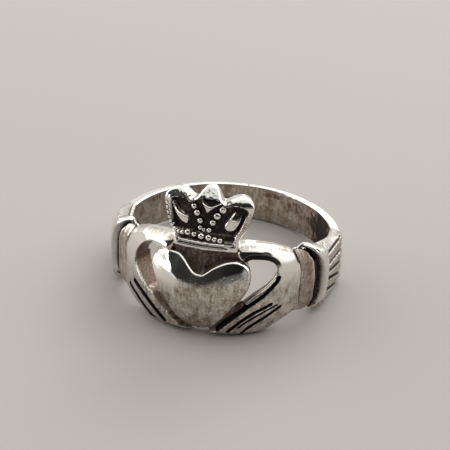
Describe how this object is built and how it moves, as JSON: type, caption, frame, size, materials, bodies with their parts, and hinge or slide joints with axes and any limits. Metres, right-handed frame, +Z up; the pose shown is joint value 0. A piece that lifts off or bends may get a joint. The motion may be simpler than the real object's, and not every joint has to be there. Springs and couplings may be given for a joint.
{
  "type": "claddagh ring",
  "caption": "Claddagh finger ring in worn silver, lying on its side: two cuffed hands hold a domed heart under a crown, on a plain band with an open finger hole.",
  "frame": {"origin": "centre of the bounding box at the floor", "axes": "+Z up, -Y towards the heart, +X towards the right hand as seen from in front; the finger hole stands nearly upright, leaning back by the resting tilt"},
  "size_m": [0.0208, 0.0216, 0.0131],
  "materials": {
    "silver": "polished sterling silver with fine wear, brown tarnish inside the band and black in the recesses"
  },
  "bodies": {
    "root": {"ring": "silver"}
  },
  "joints": []
}
